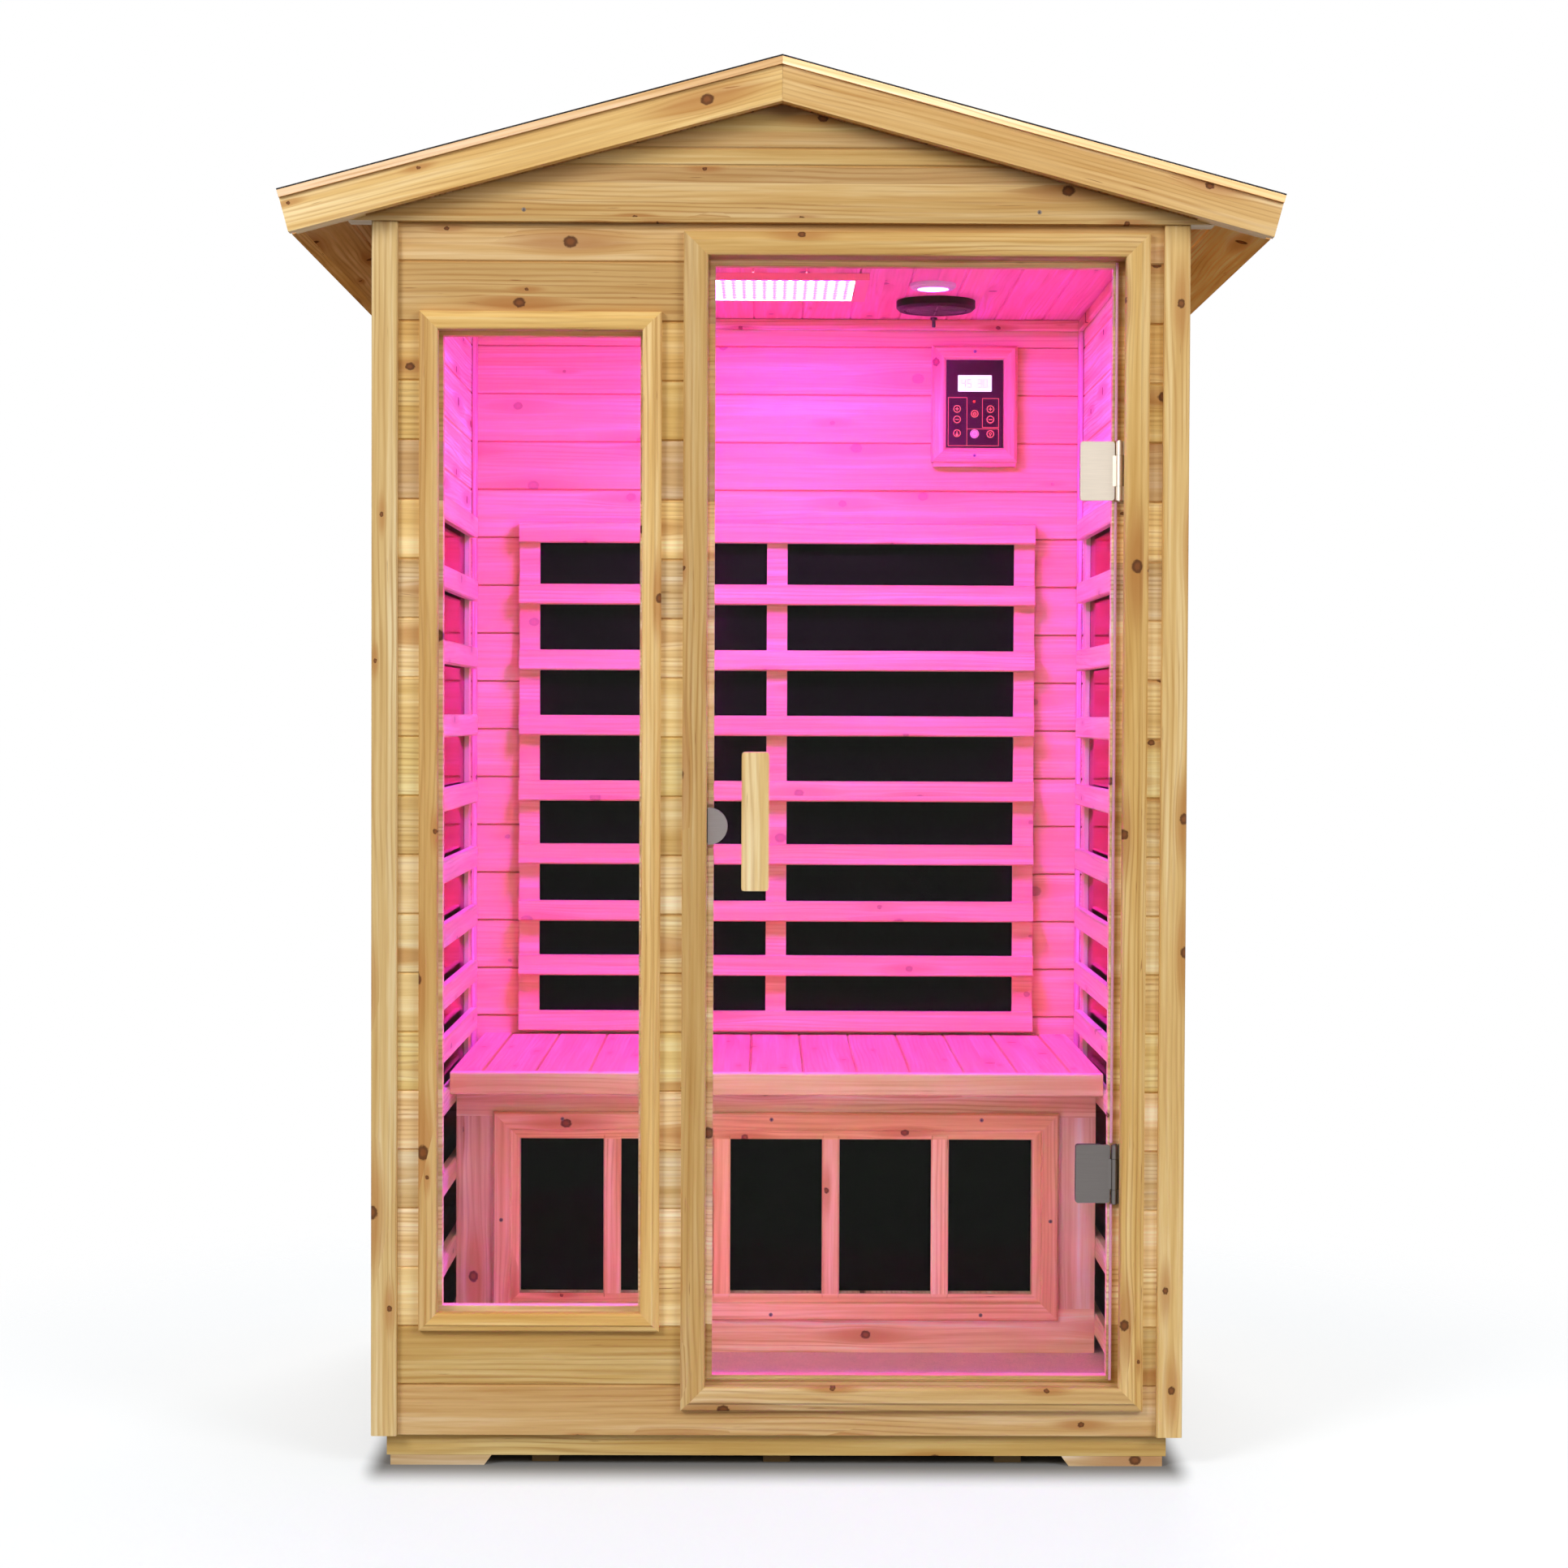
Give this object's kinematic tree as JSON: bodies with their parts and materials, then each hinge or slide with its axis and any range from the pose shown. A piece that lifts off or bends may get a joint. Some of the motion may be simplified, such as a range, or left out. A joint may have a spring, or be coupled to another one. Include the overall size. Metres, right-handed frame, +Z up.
{
  "type": "outdoor infrared sauna cabin",
  "caption": "Wooden infrared sauna cabin with a pitched roof, tall fixed window, hinged glass door, bench, guarded heater panels, ceiling light and a wall keypad.",
  "frame": {"origin": "on the ground under the middle of the roof", "axes": "+X to the right as seen from the front, +Y from the door to the back wall, +Z up"},
  "size_m": [1.462, 1.148, 2.07],
  "materials": {
    "fir": "planed, clear satin",
    "dark_fir": "sawn",
    "floor": "speckled, matte",
    "felt": "mineral surface, matte",
    "glass": "clear, tempered",
    "steel": "brushed",
    "heater": "black, glossy laminate",
    "lamp": "white diffuser",
    "black_plastic": "black, fine texture",
    "key": "domed, glossy",
    "magnet": "moulded case"
  },
  "bodies": {
    "cabin": {"base_frame": "dark_fir", "foot_front_left": "fir", "foot_front_right": "fir", "foot_back_left": "fir", "foot_back_right": "fir", "floor_board": "floor", "left_wall": "fir", "right_wall": "fir", "front_wall": "fir", "back_wall": "fir", "ceiling": "fir", "roof_slope_left": "fir", "roof_slope_right": "fir", "roof_felt": "felt", "gable_front": "fir", "gable_back": "fir", "fascia_front_left": "fir", "fascia_front_right": "fir", "fascia_back_left": "fir", "fascia_back_right": "fir", "window_casing": "fir", "window_glass": "glass", "door_casing": "fir", "catch_magnet": "magnet", "upper_hinge_frame_leaf": "steel", "upper_hinge_pin": "steel", "lower_hinge_frame_leaf": "steel", "lower_hinge_pin": "steel", "bench_seat": "fir", "bench_skirt": "fir", "calf_heater_guard": "fir", "calf_heater_panel": "heater", "back_heater_guard": "fir", "back_heater_panel": "heater", "left_heater_guard": "fir", "left_heater_panel": "heater", "right_heater_guard": "fir", "right_heater_panel": "heater", "light_panel": "lamp", "colour_lamp": "lamp", "reading_lamp": "lamp", "speaker": "black_plastic", "control_frame": "fir", "keypad": "black_plastic"},
    "door": {"door_glass": "glass", "handle_outer": "fir", "handle_inner": "fir", "catch_plate": "steel", "upper_hinge_glass_leaf": "steel", "upper_hinge_clamp_plate": "steel", "lower_hinge_glass_leaf": "steel", "lower_hinge_clamp_plate": "steel"},
    "temperature_up": {"key_temperature_up": "key"},
    "temperature_down": {"key_temperature_down": "key"},
    "temperature_unit": {"key_temperature_unit": "key"},
    "power": {"key_power": "key"},
    "colour_light": {"key_colour_light": "key"},
    "time_up": {"key_time_up": "key"},
    "time_down": {"key_time_down": "key"},
    "reading_light": {"key_reading_light": "key"}
  },
  "joints": [
    {"name": "door_hinge", "type": "hinge", "parent": "cabin", "child": "door", "pos_m": [0.4998, -0.5055, 0.9565], "axis": [0, 0, 1], "range_deg": [0, 100]},
    {"name": "temperature_up_press", "type": "slide", "parent": "cabin", "child": "temperature_up", "axis": [0, 1, 0], "range_m": [0, 0.0008], "stiffness_N_per_m": 800, "springref_m": -0.0004},
    {"name": "temperature_down_press", "type": "slide", "parent": "cabin", "child": "temperature_down", "axis": [0, 1, 0], "range_m": [0, 0.0008], "stiffness_N_per_m": 800, "springref_m": -0.0004},
    {"name": "temperature_unit_press", "type": "slide", "parent": "cabin", "child": "temperature_unit", "axis": [0, 1, 0], "range_m": [0, 0.0008], "stiffness_N_per_m": 800, "springref_m": -0.0004},
    {"name": "power_press", "type": "slide", "parent": "cabin", "child": "power", "axis": [0, 1, 0], "range_m": [0, 0.0008], "stiffness_N_per_m": 800, "springref_m": -0.0004},
    {"name": "colour_light_press", "type": "slide", "parent": "cabin", "child": "colour_light", "axis": [0, 1, 0], "range_m": [0, 0.0008], "stiffness_N_per_m": 800, "springref_m": -0.0004},
    {"name": "time_up_press", "type": "slide", "parent": "cabin", "child": "time_up", "axis": [0, 1, 0], "range_m": [0, 0.0008], "stiffness_N_per_m": 800, "springref_m": -0.0004},
    {"name": "time_down_press", "type": "slide", "parent": "cabin", "child": "time_down", "axis": [0, 1, 0], "range_m": [0, 0.0008], "stiffness_N_per_m": 800, "springref_m": -0.0004},
    {"name": "reading_light_press", "type": "slide", "parent": "cabin", "child": "reading_light", "axis": [0, 1, 0], "range_m": [0, 0.0008], "stiffness_N_per_m": 800, "springref_m": -0.0004}
  ]
}
